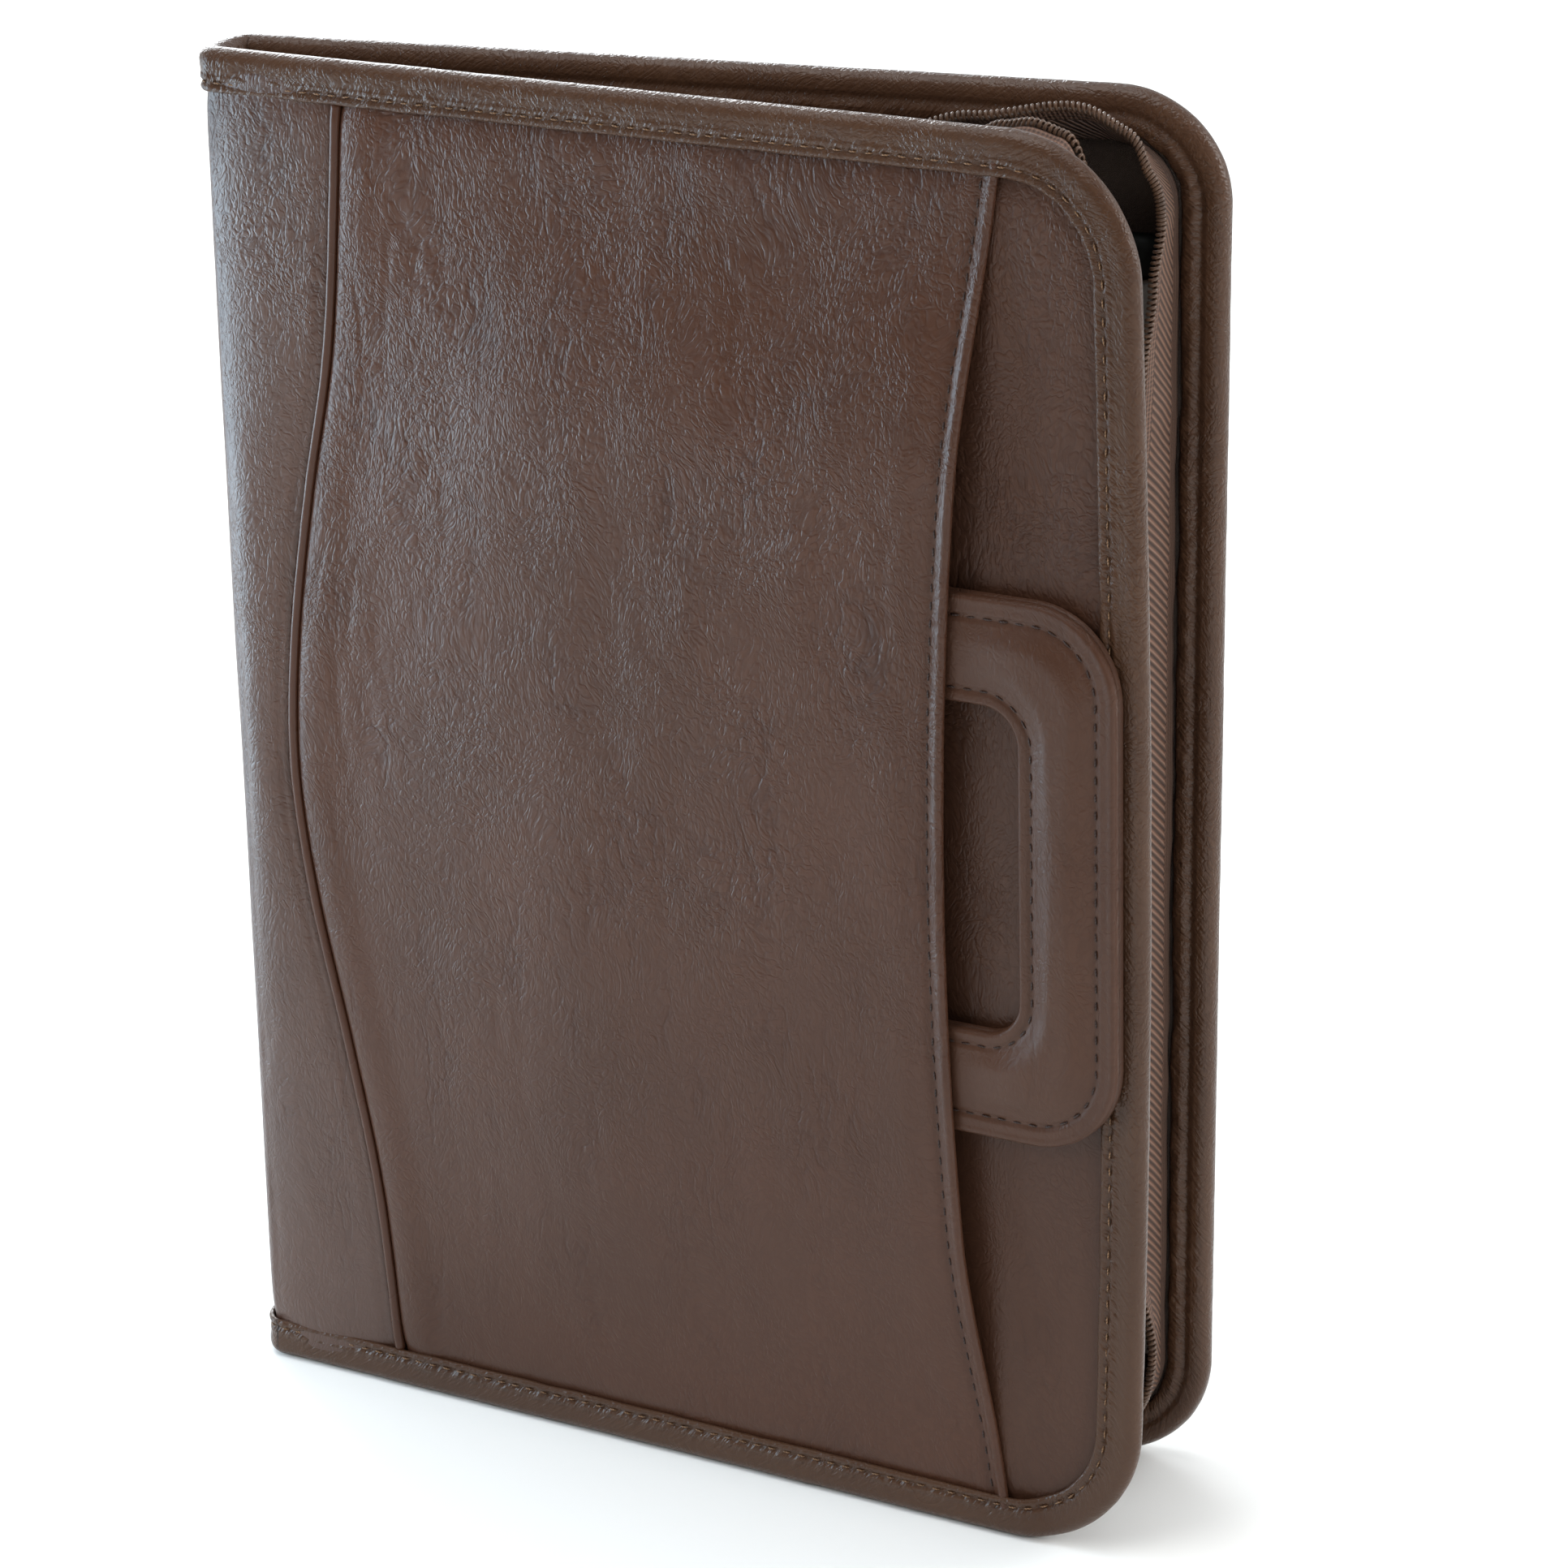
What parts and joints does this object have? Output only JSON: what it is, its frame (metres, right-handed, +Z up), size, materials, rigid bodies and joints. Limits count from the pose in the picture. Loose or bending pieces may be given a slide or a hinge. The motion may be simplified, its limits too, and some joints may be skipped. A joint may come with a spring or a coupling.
{
  "type": "zip portfolio binder with handle",
  "caption": "Leather-look zip portfolio standing slightly open, with a flat carry handle that slides out of its front pocket and a writing pad inside.",
  "frame": {"origin": "under the middle of the whole object's box, on the surface that it stands on", "axes": "+Z up along the covers' height, +X from the spine to the fore edge, the front cover parallel to XZ and facing -Y"},
  "size_m": [0.2596, 0.071, 0.343],
  "materials": {
    "case_leather": "satin grained brown",
    "binding_leather": "satin, gathered along its stitches",
    "piping_leather": "smooth satin edge",
    "handle_leather": "satin grained brown",
    "lining_cloth": "matt dark lining",
    "zip_tape": "herringbone tape",
    "zip_coil": "moulded nylon coil",
    "zip_slider": "enamelled",
    "pad_paper": "ruled",
    "pad_header": "binding tape"
  },
  "bodies": {
    "case": {"case_shell": "case_leather", "front_panel": "case_leather", "front_pocket": "case_leather", "seam_piping": "piping_leather", "pocket_hem": "piping_leather", "lining": "lining_cloth", "binding_front": "binding_leather", "binding_back": "binding_leather", "binding_spine_top": "binding_leather", "binding_spine_bottom": "binding_leather", "zip_tape_front": "zip_tape", "zip_tape_back": "zip_tape", "zip_coil_front": "zip_coil", "zip_coil_back": "zip_coil", "zip_slider": "zip_slider", "pad_sheets": "pad_paper", "pad_header": "pad_header"},
    "handle": {"handle_face": "handle_leather", "handle_back": "handle_leather"}
  },
  "joints": [
    {"name": "handle_slide", "type": "slide", "parent": "case", "child": "handle", "axis": [1, 0, 0], "range_m": [0, 0.055]}
  ]
}
